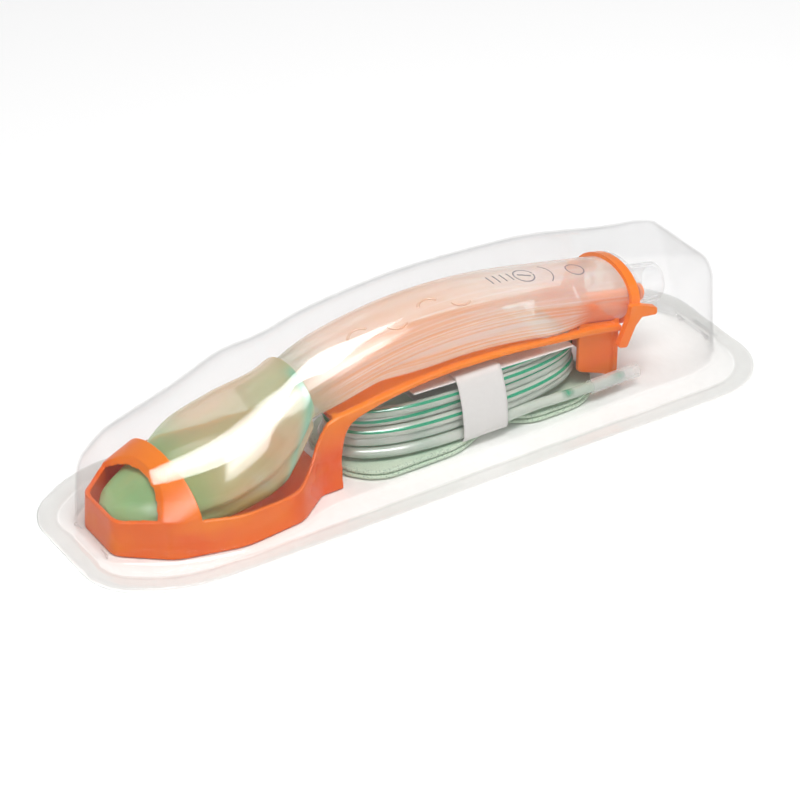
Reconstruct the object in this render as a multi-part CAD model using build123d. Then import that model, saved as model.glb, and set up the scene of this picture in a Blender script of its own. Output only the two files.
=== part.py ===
from build123d import *
import math
import os

# Airway resuscitation pack: a clear blister pack with a gel-cuff airway in an orange cradle.
# X runs from the toe of the cuff to the breathing connector, Y across, Z up.
# The origin is the middle of the peel-off lid's underside.

# ---- driving dimensions, in millimetres ----
PACK_LENGTH = 286.0
PACK_WIDTH = 88.8
LID_THICKNESS = 0.3
FILM = 0.6
FLANGE_FILM = 0.8
CLEARANCE = 0.35

FLANGE_NOSE_WIDTH = 54.4
FLANGE_SHOULDER_X = -116.6
FLANGE_NOSE_RADIUS = 22.0
FLANGE_SHOULDER_RADIUS = 50.0
FLANGE_TAIL_RADIUS = 27.5

NOSE_X = -132.0
TAIL_X = 133.3
DOME_DRAFT = math.tan(math.radians(4.5))
DOME_STATIONS = 40

WALL = 1.8
CUP_CLEARANCE = 1.0
CUP_DRAFT = 3.5
CUP_NOSE_SETBACK = 1.0
CUP_FLOOR = 1.2
POST_X = -39.6
CUP_HEIGHT_LIMIT = 48.0
HOOP_FOOT_FRONT_X = -115.2
HOOP_TOP_FRONT_X = -108.6
HOOP_REAR_X = -101.8
HOOP_FRONT_TOP = 24.6
HOOP_TILT = math.radians(25.0)
HOOP_HALF_SPAN = 28.0
HOOP_RISE = 14.0

RAIL_HALF_WIDTH = 17.8
TROUGH_HALF_WIDTH = 14.8
RAIL_FLOOR_END_X = 52.0
LEG_RIGHT_X = 84.5
LEG_LEFT_X = 67.0
LEG_BOTTOM = 5.0
LEG_EDGE_WIDTH = 2.2
LEG_EDGE_HALF_WIDTH = 16.0

STEM_HALF_WIDTH = 17.0
STEM_HALF_HEIGHT = 10.8
STEM_START_X = -62.0
STEM_APEX = (8.9, 46.0)
STEM_REAR_RADIUS = 206.0
STEM_FRONT_RADIUS = 160.0
STEM_TILT = math.radians(11.5)
STEM_END_X = 92.0

FLANGE_PLATE = 2.0
FLANGE_OVERHANG = 1.2
RING_GRIP = 0.03
RING_SETBACK = 0.2
RING_WIDTH = 4.0
RING_WALL = 1.5
CONNECTOR_RADIUS = 7.75
CONNECTOR_BORE_RADIUS = 6.1
CONNECTOR_LENGTH = 18.0
COLLAR_RADIUS = 8.3
COLLAR_LENGTH = 4.0
HOOK_INNER_Y = 18.3
HOOK_THICKNESS = 2.4

PLUG_RADIUS = 2.1
PLUG_CLEARANCE = 0.05
PLUG_LENGTH = 24.0
PLUG_Y = -11.6
PLUG_RISE = 3.1
PLUG_HEAD_RADIUS = 3.4
PLUG_HEAD_THICKNESS = 1.8

STRAP_THICKNESS = 3.6
TUBE_RADIUS = 2.0
COIL_START_X = -37.0
COIL_END_X = 72.9
COIL_END_LENGTH = 40.9
COIL_HALF_WIDTH = 23.2
COIL_BOTTOM = 4.9
COIL_TAPER = 13.0
COIL_TOP = 27.6
COIL_SLOPE = 0.0434
COIL_SLOPE_START_X = -8.0
BAND_START_X = 10.0
BAND_WIDTH = 19.5
BAND_THICKNESS = 0.3
BAND_RISE = 2.2
BAND_GAP = 0.05
SACHET_START_X = -8.0
SACHET_LENGTH = 71.0
SACHET_WIDTH = 34.4
SACHET_THICKNESS = 1.8
SACHET_GAP = 0.2
SLEEVE_RADIUS = 2.7
SLEEVE_LENGTH = 22.5
SLEEVE_PAST_TUBE = 7.0

CONTENTS_Z = LID_THICKNESS + CLEARANCE
FLANGE_BOTTOM = LID_THICKNESS + 0.05
ACROSS_X = {"x_dir": (0, 1, 0), "z_dir": (1, 0, 0)}

# Half-width of the dome's footprint along X, and height of its top line along X.
DOME_PLAN = [
    (NOSE_X, 11.5),
    (-130.0, 15.5),
    (-125.0, 19.8),
    (-112.0, 27.6),
    (-87.0, 33.8),
    (-66.0, 31.8),
    (-55.0, 27.6),
    (-46.0, 25.5),
    (-30.0, 25.3),
    (112.0, 25.3),
    (121.0, 23.6),
    (128.0, 19.4),
    (132.0, 13.5),
    (TAIL_X, 8.5),
]
DOME_TOP_LINE = [
    (NOSE_X, 3.0),
    (-130.4, 17.0),
    (-128.4, 27.0),
    (-124.5, 31.2),
    (-113.0, 36.0),
    (-86.0, 43.0),
    (-66.0, 51.6),
    (-34.0, 60.0),
    (6.0, 63.0),
    (54.0, 60.4),
    (100.0, 50.8),
    (116.0, 47.4),
    (123.0, 45.6),
    (127.6, 39.0),
    (130.8, 22.0),
    (TAIL_X, 3.0),
]
DOME_EDGE_RADIUS = [
    (NOSE_X, 3.0),
    (-118.0, 13.0),
    (-90.0, 23.0),
    (-64.0, 20.0),
    (-30.0, 14.0),
    (100.0, 10.0),
    (TAIL_X, 3.0),
]

# How far the rail's upper and lower edges lie below the stem's centre line, along X.
RAIL_TOP_DROP = [
    (POST_X, 8.0),
    (-30.0, 9.8),
    (-12.0, 11.2),
    (20.0, 11.0),
    (50.0, 9.8),
    (67.0, 7.6),
    (LEG_RIGHT_X, 7.0),
]
RAIL_BOTTOM_DROP = [(POST_X, 13.2), (10.0, 13.2), (50.0, 11.8), (67.0, 10.0), (LEG_RIGHT_X, 9.6)]


def smooth_value(points, x):
    """Height at x of a smooth line through the points that never overshoots them."""
    slopes = [(b[1] - a[1]) / (b[0] - a[0]) for a, b in zip(points, points[1:])]
    ends = [slopes[0]] + [harmonic_mean(a, b) for a, b in zip(slopes, slopes[1:])] + [slopes[-1]]
    index = 0
    while index < len(slopes) - 1 and x > points[index + 1][0]:
        index += 1
    (x0, y0), (x1, y1) = points[index], points[index + 1]
    width = x1 - x0
    t = min(max((x - x0) / width, 0.0), 1.0)
    start = y0 * (1 + 2 * t) * (1 - t) ** 2 + ends[index] * width * t * (1 - t) ** 2
    finish = y1 * t * t * (3 - 2 * t) + ends[index + 1] * width * t * t * (t - 1)
    return start + finish


def harmonic_mean(a, b):
    return 2 * a * b / (a + b) if a * b > 0 else 0.0


def rounded_face(points, radii, plane=Plane.XY):
    """A flat face whose corners are arcs of the given radii."""
    with BuildSketch(plane) as sketch:
        with BuildLine():
            FilletPolyline(*points, radius=radii, close=True)
        make_face()
    return sketch.sketch.face()


def outline_face(near_points, near_radii, plane=Plane.XY):
    """A face that is the same on both sides of the X axis, from its near-side corners."""
    points = near_points + [(x, -y) for x, y in reversed(near_points)]
    return rounded_face(points, near_radii + list(reversed(near_radii)), plane)


def side_prism(points, radii, half_width):
    """A side-view outline in X and Z, pulled out to both sides of the middle plane."""
    return extrude(rounded_face(points, radii, Plane.XZ), amount=half_width, both=True)


def round_bar(start, direction, radius, length):
    return extrude(Plane(start, z_dir=direction) * Circle(radius), amount=length)


# ---- blister pack ----


def flange_face():
    end_x = PACK_LENGTH / 2
    points = [
        (-end_x, -FLANGE_NOSE_WIDTH / 2),
        (FLANGE_SHOULDER_X, -PACK_WIDTH / 2),
        (end_x, -PACK_WIDTH / 2),
    ]
    radii = [FLANGE_NOSE_RADIUS, FLANGE_SHOULDER_RADIUS, FLANGE_TAIL_RADIUS]
    return outline_face(points, radii)


def dome_section(x, inset, bottom):
    """Cross-section of the dome at x: leaning walls, rounded top edges and a flat top."""
    stretch = (TAIL_X - NOSE_X) / (TAIL_X - NOSE_X - 2 * inset)
    outer_x = NOSE_X + (x - NOSE_X - inset) * stretch
    half = smooth_value(DOME_PLAN, outer_x) - inset
    top = smooth_value(DOME_TOP_LINE, outer_x) - inset
    radius = min(smooth_value(DOME_EDGE_RADIUS, outer_x) - inset, 0.8 * top, 0.8 * half)
    base = half - DOME_DRAFT * bottom
    shoulder = half - DOME_DRAFT * top
    points = [(-base, bottom), (-shoulder, top), (shoulder, top), (base, bottom)]
    return rounded_face(points, [0.0, radius, radius, 0.0], Plane(origin=(x, 0, 0), **ACROSS_X))


def dome_body(inset, bottom):
    start, end = NOSE_X + inset, TAIL_X - inset
    middle, half = (start + end) / 2, (end - start) / 2
    angles = [math.pi * step / DOME_STATIONS for step in range(DOME_STATIONS + 1)]
    sections = [dome_section(middle - half * math.cos(angle), inset, bottom) for angle in angles]
    return Solid.make_loft([section.outer_wire() for section in sections], ruled=True)


def blister_dome():
    return dome_body(0.0, FLANGE_BOTTOM) - dome_body(FILM, FLANGE_BOTTOM - 1.0)


def blister_flange():
    """The film's flat rim, which meets the foot of the dome all the way round."""
    plate = extrude(Pos(0, 0, FLANGE_BOTTOM) * flange_face(), amount=FLANGE_FILM)
    return plate - dome_body(0.0, FLANGE_BOTTOM)


def peel_lid():
    return extrude(flange_face(), amount=LID_THICKNESS)


# ---- cradle ----


def stem_height(x):
    """Height of the stem's centre line at x: two arcs and a straight end."""
    apex_x, apex_z = STEM_APEX
    if x < apex_x:
        return apex_z - STEM_FRONT_RADIUS + math.sqrt(STEM_FRONT_RADIUS**2 - (x - apex_x) ** 2)
    join_x = apex_x + STEM_REAR_RADIUS * math.sin(STEM_TILT)
    on_arc = min(x, join_x)
    arc_height = apex_z - STEM_REAR_RADIUS + math.sqrt(STEM_REAR_RADIUS**2 - (on_arc - apex_x) ** 2)
    return arc_height - (x - on_arc) * math.tan(STEM_TILT)


def stem_sweep(half_width, half_height, end_x):
    """An oval bar along the stem's centre line."""
    apex_x = STEM_APEX[0]
    join_x = apex_x + STEM_REAR_RADIUS * math.sin(STEM_TILT)
    stations = [STEM_START_X, (STEM_START_X + apex_x) / 2, apex_x, (apex_x + join_x) / 2, join_x, end_x]
    start, front, apex, rear, join, end = [(x, 0, stem_height(x)) for x in stations]
    path = Wire([
        Edge.make_three_point_arc(start, front, apex),
        Edge.make_three_point_arc(apex, rear, join),
        Edge.make_line(join, end),
    ])
    plane = Plane(origin=start, x_dir=(0, 1, 0), z_dir=path.tangent_at(0))
    return sweep(plane * Ellipse(half_width, half_height), path=path)


def stem_envelope():
    """The room that the stem needs between the cradle's walls."""
    return stem_sweep(STEM_HALF_WIDTH + CLEARANCE, STEM_HALF_HEIGHT + CLEARANCE, STEM_END_X + 20.0)


def rail_top(x):
    return stem_height(x) - smooth_value(RAIL_TOP_DROP, x)


def rail_bottom(x):
    return stem_height(x) - smooth_value(RAIL_BOTTOM_DROP, x)


def cup_face(inset):
    """Plan of the cup's wall, moved in by inset. It is pinched where the post stands."""
    points = [
        (NOSE_X + CUP_NOSE_SETBACK + inset, -12.5 + 0.6 * inset),
        (-112.5 + 0.4 * inset, -27.4 + inset),
        (-87.0, -33.6 + inset),
        (-62.0, -31.0 + inset),
        (-48.5, -20.9 + inset),
        (POST_X + 6.0, -21.0 + inset),
    ]
    return outline_face(points, [7.0, 20.0, 30.0, 12.0, 7.0, 0.4])


def cup_prism(inset, bottom):
    return extrude(Pos(0, 0, bottom) * cup_face(inset), amount=CUP_HEIGHT_LIMIT, taper=CUP_DRAFT)


def below_rim():
    """Everything below the cup's rim, which rises towards the post."""
    points = [
        (NOSE_X - 4, -1.0),
        (NOSE_X - 4, 16.4),
        (-127.0, 14.4),
        (-116.0, 15.6),
        (-90.0, 13.4),
        (-66.0, 12.4),
        (-54.0, 16.6),
        (-44.5, rail_top(-44.5)),
        (POST_X, rail_top(POST_X)),
        (POST_X, -1.0),
    ]
    return side_prism(points, [0.0, 2.0, 8.0, 30.0, 60.0, 25.0, 20.0, 3.0, 0.0, 0.0], 45.0)


def ahead_of(x):
    return Pos(x - 100.0, 0, 30.0) * Box(200.0, 100.0, 100.0)


def cradle_cup():
    """Open cup round the cuff. Its back is open, where the stem comes out between the posts."""
    outer_inset = FILM + CUP_CLEARANCE
    outer = cup_prism(outer_inset, CONTENTS_Z) & ahead_of(POST_X)
    inner = cup_prism(outer_inset + WALL, CONTENTS_Z + CUP_FLOOR) & ahead_of(POST_X - WALL)
    back = Pos(POST_X, 0, 30.0 + CONTENTS_Z + CUP_FLOOR) * Box(8.0, 26.0, 60.0)
    return (outer - inner - back) & below_rim() - stem_envelope()


def hoop_arch(thickness):
    """Inside of a rounded arch that leans back over the toe, shrunk by thickness."""
    run = Vector(math.cos(HOOP_TILT), 0, math.sin(HOOP_TILT))
    plane = Plane(origin=(HOOP_TOP_FRONT_X, 0, HOOP_FRONT_TOP), x_dir=(0, 1, 0), z_dir=run)
    half_span, rise = HOOP_HALF_SPAN - thickness, HOOP_RISE - thickness
    crown = Pos(0, -HOOP_RISE) * Ellipse(half_span, rise)
    legs = Pos(0, -2 * HOOP_RISE) * Rectangle(2 * half_span, 2 * HOOP_RISE)
    arch = (plane * (crown + legs)).face()
    return extrude(arch, amount=30.0) + extrude(arch, amount=-20.0)


def hoop_band():
    """Side view of the band: it leans back in front, so that it is wider at its feet than at its top."""
    points = [
        (HOOP_TOP_FRONT_X, 50.0),
        (HOOP_TOP_FRONT_X, 24.0),
        (HOOP_FOOT_FRONT_X, 15.8),
        (HOOP_FOOT_FRONT_X, 8.0),
        (HOOP_REAR_X, 8.0),
        (HOOP_REAR_X, 50.0),
    ]
    return side_prism(points, [0.0, 3.0, 1.5, 0.0, 0.0, 0.0], 40.0)


def toe_hoop():
    """Arch over the toe of the cuff, standing on the cup's rim."""
    outer_inset = FILM + CUP_CLEARANCE
    outer = cup_prism(outer_inset, CONTENTS_Z) & hoop_arch(0.0) & hoop_band()
    inner = cup_prism(outer_inset + WALL, CONTENTS_Z) & hoop_arch(WALL)
    return outer - inner - below_rim()


def side_strip(upper, lower, half_width):
    """A solid between two smooth lines seen from the side, pulled out to both sides."""
    with BuildSketch(Plane.XZ) as sketch:
        with BuildLine():
            Spline(*upper)
            Line(upper[-1], lower[-1])
            Spline(*lower)
            Line(lower[0], upper[0])
        make_face()
    return extrude(sketch.sketch.face(), amount=half_width, both=True)


def trough_floor(start_x, end_x, half_width):
    """A curved floor just under the stem."""
    belly = STEM_HALF_HEIGHT + CLEARANCE + 0.1
    stations = [start_x + (end_x - start_x) * step / 4 for step in range(5)]
    top = [(x, stem_height(x) - belly) for x in stations]
    bottom = [(x, z - WALL) for x, z in top]
    return side_strip(top, bottom, half_width)


def cradle_rail():
    """Two side rails that the stem lies on, flared into the post and joined by a floor."""
    stations = [-28.0, -12.0, 5.0, 22.0, 40.0, 56.0, 70.0, LEG_RIGHT_X]
    flare = [(POST_X, 9.0), (-38.4, 17.5), (-35.4, 25.2)]
    lower = flare + [(x, rail_bottom(x)) for x in stations]
    upper = [(x, rail_top(x)) for x in [POST_X, -34.0] + stations]
    trough = Pos(0, 0, 30.0) * Box(400.0, 2 * TROUGH_HALF_WIDTH, 100.0)
    floor = trough_floor(POST_X, RAIL_FLOOR_END_X, TROUGH_HALF_WIDTH)
    return (side_strip(upper, lower, RAIL_HALF_WIDTH) - trough + floor) - stem_envelope()


def rear_leg():
    """Leg under the rail's tail: a panel on each side with an outward edge, an end wall and a floor."""
    outline = [
        (LEG_LEFT_X, 32.0),
        (LEG_RIGHT_X, 32.0),
        (LEG_RIGHT_X, LEG_BOTTOM + 0.4),
        (LEG_RIGHT_X - 3.0, LEG_BOTTOM),
        (LEG_RIGHT_X - 6.0, LEG_BOTTOM + 1.8),
        (LEG_LEFT_X, LEG_BOTTOM + 6.4),
    ]
    radii = [0.0, 0.0, 1.2, 1.0, 1.0, 2.0]
    block = side_prism(outline, radii, TROUGH_HALF_WIDTH)
    inside = side_prism(outline, radii, TROUGH_HALF_WIDTH - WALL)
    end_wall = inside & Pos(LEG_RIGHT_X - WALL / 2, 0, 16.0) * Box(WALL, 60.0, 40.0)
    edge_slab = Pos(LEG_RIGHT_X - LEG_EDGE_WIDTH / 2, 0, 16.0) * Box(LEG_EDGE_WIDTH, 60.0, 40.0)
    edges = (side_prism(outline, radii, LEG_EDGE_HALF_WIDTH) & edge_slab) - block
    floor = trough_floor(LEG_LEFT_X, LEG_RIGHT_X, TROUGH_HALF_WIDTH - WALL)
    return (block - inside) + end_wall + edges + floor - stem_envelope() - cradle_rail()


# ---- airway ----


def end_plane(distance):
    """Plane across the stem's end, moved along its axis towards the connector."""
    direction = Vector(math.cos(STEM_TILT), 0, -math.sin(STEM_TILT))
    origin = Vector(STEM_END_X, 0, stem_height(STEM_END_X)) + direction * distance
    return Plane(origin=origin, x_dir=(0, 1, 0), z_dir=direction)


def plug_bore(start, length):
    bore = Pos(PLUG_Y, PLUG_RISE) * Circle(PLUG_RADIUS + PLUG_CLEARANCE)
    return extrude(end_plane(start) * bore, amount=length)


def airway_stem():
    stem = stem_sweep(STEM_HALF_WIDTH, STEM_HALF_HEIGHT, STEM_END_X)
    return stem - plug_bore(FLANGE_PLATE - PLUG_LENGTH, PLUG_LENGTH)


def gel_cuff():
    """Soft mask: oval sections from the toe to where it grips the stem."""
    sections = [
        (-125.5, 6.0, 6.0, 13.5),
        (-121.0, 12.0, 4.0, 16.2),
        (-112.0, 17.6, 2.8, 19.2),
        (-102.0, 21.4, 2.5, 23.4),
        (-86.0, 26.6, 2.5, 33.2),
        (-72.0, 25.5, 3.2, 38.8),
        (-60.0, 21.0, 8.0, 43.2),
        (-50.0, 17.6, 21.5, 46.8),
    ]
    wires = []
    for x, half_width, bottom, top in sections:
        plane = Plane(origin=(x, 0, (bottom + top) / 2), **ACROSS_X)
        wires.append((plane * Ellipse(half_width, (top - bottom) / 2)).face().outer_wire())
    return Solid.make_loft(wires)


def end_flange():
    oval = Ellipse(STEM_HALF_WIDTH + FLANGE_OVERHANG, STEM_HALF_HEIGHT + FLANGE_OVERHANG)
    plate = extrude(end_plane(0) * oval, amount=FLANGE_PLATE)
    lumen = extrude(end_plane(-1.0) * Circle(CONNECTOR_BORE_RADIUS), amount=FLANGE_PLATE + 2.0)
    return plate - lumen - plug_bore(-1.0, FLANGE_PLATE + 2.0)


def airway_connector():
    """Breathing connector with a collar at its foot."""
    tube = extrude(end_plane(FLANGE_PLATE) * Circle(CONNECTOR_RADIUS), amount=CONNECTOR_LENGTH)
    collar = extrude(end_plane(FLANGE_PLATE) * Circle(COLLAR_RADIUS), amount=COLLAR_LENGTH)
    bore = extrude(end_plane(FLANGE_PLATE) * Circle(CONNECTOR_BORE_RADIUS), amount=CONNECTOR_LENGTH)
    return tube + collar - bore


def hook_ring():
    """Oval band round the stem's end, with a strap hook and a tab on each side."""
    inner_width, inner_height = STEM_HALF_WIDTH + RING_GRIP, STEM_HALF_HEIGHT + RING_GRIP
    band = Ellipse(inner_width + RING_WALL, inner_height + RING_WALL) - Ellipse(inner_width, inner_height)
    ring = extrude(end_plane(-RING_WIDTH - RING_SETBACK) * band, amount=RING_WIDTH)
    hook = [
        (86.6, 36.8),
        (91.0, 35.8),
        (98.4, 32.8),
        (98.8, 29.6),
        (91.6, 30.6),
        (88.8, 27.6),
        (85.2, 19.4),
        (81.0, 20.4),
        (84.4, 28.6),
        (86.0, 32.4),
    ]
    face = rounded_face(hook, [1.0, 1.0, 1.2, 1.0, 1.0, 2.0, 1.0, 1.0, 2.0, 1.0], Plane.XZ)
    for side in (-1, 1):
        middle_y = side * (HOOK_INNER_Y + HOOK_THICKNESS / 2)
        ring += Pos(0, middle_y, 0) * extrude(face, amount=HOOK_THICKNESS / 2, both=True)
    return ring


def port_plug():
    """Push-in plug of the side port, with its pull head outside the end flange."""
    centre = Pos(PLUG_Y, PLUG_RISE)
    rod = extrude(end_plane(FLANGE_PLATE - PLUG_LENGTH) * centre * Circle(PLUG_RADIUS), amount=PLUG_LENGTH)
    head = extrude(end_plane(FLANGE_PLATE) * centre * Circle(PLUG_HEAD_RADIUS), amount=PLUG_HEAD_THICKNESS)
    return rod + head


# ---- coil of tube, its strap, band and sachet ----


def coil_top(x):
    return COIL_TOP - max(0.0, x - COIL_SLOPE_START_X) * COIL_SLOPE


def coil_plan():
    """Lowest turn's outline: round at the nose end, drawn out to a narrow end between the leg's panels."""
    nose_x, tail_x = COIL_START_X + COIL_HALF_WIDTH, COIL_END_X - COIL_END_LENGTH
    straight = Pos((nose_x + tail_x) / 2, 0) * Rectangle(tail_x - nose_x, 2 * COIL_HALF_WIDTH)
    drawn_end = Pos(tail_x, 0) * Ellipse(COIL_END_LENGTH, COIL_HALF_WIDTH)
    return (Pos(nose_x, 0) * Circle(COIL_HALF_WIDTH) + straight + drawn_end).face()


def suction_tube_coil():
    """Outer shape of the wound tube: an oval stack that narrows upwards and slopes to the tail."""
    stack = extrude(Pos(0, 0, COIL_BOTTOM) * coil_plan(), amount=26.0, taper=COIL_TAPER)
    top = [
        (-60.0, 0.0),
        (-60.0, 24.0),
        (-27.0, COIL_TOP),
        (COIL_SLOPE_START_X, COIL_TOP),
        (80.0, coil_top(80.0)),
        (80.0, 0.0),
    ]
    return stack & side_prism(top, [0.0, 0.0, 20.0, 30.0, 0.0, 0.0], 40.0)


TUBE_END_ROUTE = [
    (46.0, -19.8, 7.6),
    (56.0, -20.6, 7.5),
    (66.0, -20.4, 7.2),
    (76.0, -19.9, 6.85),
    (84.5, -19.35, 6.5),
]


def bend_radii(route):
    """As large an arc at each corner as the two runs beside it allow."""
    radii = []
    for before, corner, after in zip(route, route[1:], route[2:]):
        run_in, run_out = Vector(corner) - Vector(before), Vector(after) - Vector(corner)
        half_turn = math.radians(run_in.get_angle(run_out) / 2)
        radii.append(0.45 * min(run_in.length, run_out.length) / math.tan(half_turn))
    return radii


def suction_tube_end():
    radii = bend_radii(TUBE_END_ROUTE)
    print("tube end bend radii, mm:", [round(radius) for radius in radii])
    with BuildLine() as line:
        FilletPolyline(*TUBE_END_ROUTE, radius=radii)
    path = line.wire()
    start = Plane(origin=path.position_at(0), z_dir=path.tangent_at(0))
    tube = sweep(start * Circle(TUBE_RADIUS), path=path)
    print("tube end volume over section times length:", tube.volume / (math.pi * TUBE_RADIUS**2 * path.length))
    return tube


def tube_sleeve():
    tip, before = Vector(TUBE_END_ROUTE[-1]), Vector(TUBE_END_ROUTE[-2])
    direction = (tip - before).normalized()
    start = tip - direction * (SLEEVE_LENGTH - SLEEVE_PAST_TUBE)
    bore = round_bar(start, direction, TUBE_RADIUS + PLUG_CLEARANCE, SLEEVE_LENGTH)
    return round_bar(start, direction, SLEEVE_RADIUS, SLEEVE_LENGTH) - bore


def support_strap():
    """Flat folded strap under the coil, with a round lobe at each end of its near side."""
    points = [
        (-36.0, -13.0),
        (-25.0, -23.6),
        (6.0, -23.6),
        (29.0, -13.0),
        (43.0, -21.8),
        (67.0, -21.8),
        (78.5, -10.0),
    ]
    face = outline_face(points, [8.0, 14.0, 16.0, 8.0, 12.0, 14.0, 9.0])
    return extrude(Pos(0, 0, CONTENTS_Z) * face, amount=STRAP_THICKNESS)


def band_face(spread):
    slope = math.tan(math.radians(COIL_TAPER))
    top = coil_top(BAND_START_X) + BAND_RISE + spread
    low_half = COIL_HALF_WIDTH + spread
    top_half = COIL_HALF_WIDTH - slope * (top - COIL_BOTTOM) + spread
    bottom = COIL_BOTTOM - spread
    points = [(-low_half, bottom), (low_half, bottom), (top_half, top), (-top_half, top)]
    return rounded_face(points, [0.4, 0.4, 0.4, 0.4], Plane(origin=(BAND_START_X, 0, 0), **ACROSS_X))


def paper_band():
    outer = extrude(band_face(BAND_THICKNESS + BAND_GAP), amount=BAND_WIDTH)
    return outer - extrude(band_face(BAND_GAP), amount=BAND_WIDTH)


def lubricant_sachet():
    slope = math.degrees(math.atan(COIL_SLOPE))
    plate = Pos(SACHET_LENGTH / 2, 0, SACHET_THICKNESS / 2) * Box(SACHET_LENGTH, SACHET_WIDTH, SACHET_THICKNESS)
    return Pos(SACHET_START_X, 0, coil_top(SACHET_START_X) + SACHET_GAP) * Rot(0, slope, 0) * plate


NODES = {
    "peel_lid": peel_lid,
    "blister_dome": blister_dome,
    "blister_flange": blister_flange,
    "cradle_cup": cradle_cup,
    "toe_hoop": toe_hoop,
    "cradle_rail": cradle_rail,
    "rear_leg": rear_leg,
    "airway_stem": airway_stem,
    "gel_cuff": gel_cuff,
    "end_flange": end_flange,
    "airway_connector": airway_connector,
    "hook_ring": hook_ring,
    "port_plug": port_plug,
    "suction_tube_coil": suction_tube_coil,
    "suction_tube_end": suction_tube_end,
    "tube_sleeve": tube_sleeve,
    "support_strap": support_strap,
    "paper_band": paper_band,
    "lubricant_sachet": lubricant_sachet,
}


def main():
    os.makedirs("parts", exist_ok=True)
    for name, build in NODES.items():
        export_step(build(), f"parts/{name}.step")


main()
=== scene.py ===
import bmesh
import bpy
import math
import random
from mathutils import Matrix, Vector


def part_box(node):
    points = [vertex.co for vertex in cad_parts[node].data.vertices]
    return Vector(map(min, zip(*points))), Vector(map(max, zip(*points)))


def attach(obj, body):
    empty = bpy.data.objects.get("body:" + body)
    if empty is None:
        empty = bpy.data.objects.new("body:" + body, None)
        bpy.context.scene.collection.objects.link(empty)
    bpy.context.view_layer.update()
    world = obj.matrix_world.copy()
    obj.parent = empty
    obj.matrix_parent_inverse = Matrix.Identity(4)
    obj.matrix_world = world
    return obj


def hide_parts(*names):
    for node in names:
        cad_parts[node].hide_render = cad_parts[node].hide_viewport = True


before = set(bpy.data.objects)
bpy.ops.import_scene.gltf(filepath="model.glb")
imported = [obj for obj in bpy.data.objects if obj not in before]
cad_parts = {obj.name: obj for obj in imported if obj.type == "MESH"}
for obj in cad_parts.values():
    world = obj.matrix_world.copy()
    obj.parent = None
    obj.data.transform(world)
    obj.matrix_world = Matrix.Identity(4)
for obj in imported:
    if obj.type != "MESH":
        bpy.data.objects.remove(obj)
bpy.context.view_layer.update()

# Airway resuscitation pack: the looks of the blister pack, the airway, its cradle and the coiled tube.
# Shapes are worked out in millimetres and written to the meshes in metres.

MM = 0.001


def box_mm(node):
    low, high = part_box(node)
    return Vector(low) / MM, Vector(high) / MM


# ---- shared shapes, in millimetres ----

# The flange's corners on the near side, as (x, y, radius).
FLANGE_CORNERS = [(-143.0, -27.2, 22.0), (-116.6, -44.4, 50.0), (143.0, -44.4, 27.5)]
NOSE_X = -132.0
TAIL_X = 133.3
DOME_LEAN = math.radians(4.5)
# Half width at the foot, height of the top line and radius of the upper edge, each along X.
DOME_PLAN = [
    (NOSE_X, 11.5), (-130.0, 15.5), (-125.0, 19.8), (-112.0, 27.6), (-87.0, 33.8),
    (-66.0, 31.8), (-55.0, 27.6), (-46.0, 25.5), (-30.0, 25.3), (112.0, 25.3),
    (121.0, 23.6), (128.0, 19.4), (132.0, 13.5), (TAIL_X, 8.5),
]
DOME_TOP_LINE = [
    (NOSE_X, 3.0), (-130.4, 17.0), (-128.4, 27.0), (-124.5, 31.2), (-113.0, 36.0),
    (-86.0, 43.0), (-66.0, 51.6), (-34.0, 60.0), (6.0, 63.0), (54.0, 60.4),
    (100.0, 50.8), (116.0, 47.4), (123.0, 45.6), (127.6, 39.0), (130.8, 22.0), (TAIL_X, 3.0),
]
DOME_EDGE_RADIUS = [
    (NOSE_X, 3.0), (-118.0, 13.0), (-90.0, 23.0), (-64.0, 20.0), (-30.0, 14.0),
    (100.0, 10.0), (TAIL_X, 3.0),
]

STEM_APEX = (8.9, 46.0)
STEM_FRONT_RADIUS = 160.0
STEM_REAR_RADIUS = 206.0
STEM_TILT = math.radians(11.5)
STEM_HALF_WIDTH = 17.0
STEM_HALF_HEIGHT = 10.8
STEM_START_X = -62.0
STEM_END_X = 92.0


def harmonic_mean(a, b):
    return 2 * a * b / (a + b) if a * b > 0 else 0.0


def smooth_value(points, x):
    """Value at x of a smooth line through the points that never overshoots them."""
    slopes = [(b[1] - a[1]) / (b[0] - a[0]) for a, b in zip(points, points[1:])]
    ends = [slopes[0]] + [harmonic_mean(a, b) for a, b in zip(slopes, slopes[1:])] + [slopes[-1]]
    index = 0
    while index < len(slopes) - 1 and x > points[index + 1][0]:
        index += 1
    (x0, y0), (x1, y1) = points[index], points[index + 1]
    width = x1 - x0
    t = min(max((x - x0) / width, 0.0), 1.0)
    start = y0 * (1 + 2 * t) * (1 - t) ** 2 + ends[index] * width * t * (1 - t) ** 2
    finish = y1 * t * t * (3 - 2 * t) + ends[index + 1] * width * t * t * (t - 1)
    return start + finish


def smooth_step(low, high, x):
    t = min(max((x - low) / (high - low), 0.0), 1.0)
    return t * t * (3 - 2 * t)


def hump(x, middle, width):
    """1 at the middle, falling smoothly to nothing about two widths away."""
    return math.exp(-(((x - middle) / width) ** 2))


def stem_height(x):
    """Height of the stem's centre line at x: two arcs and a straight end."""
    apex_x, apex_z = STEM_APEX
    if x < apex_x:
        return apex_z - STEM_FRONT_RADIUS + math.sqrt(STEM_FRONT_RADIUS**2 - (x - apex_x) ** 2)
    join_x = apex_x + STEM_REAR_RADIUS * math.sin(STEM_TILT)
    on_arc = min(x, join_x)
    arc_height = apex_z - STEM_REAR_RADIUS + math.sqrt(STEM_REAR_RADIUS**2 - (on_arc - apex_x) ** 2)
    return arc_height - (x - on_arc) * math.tan(STEM_TILT)


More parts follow.
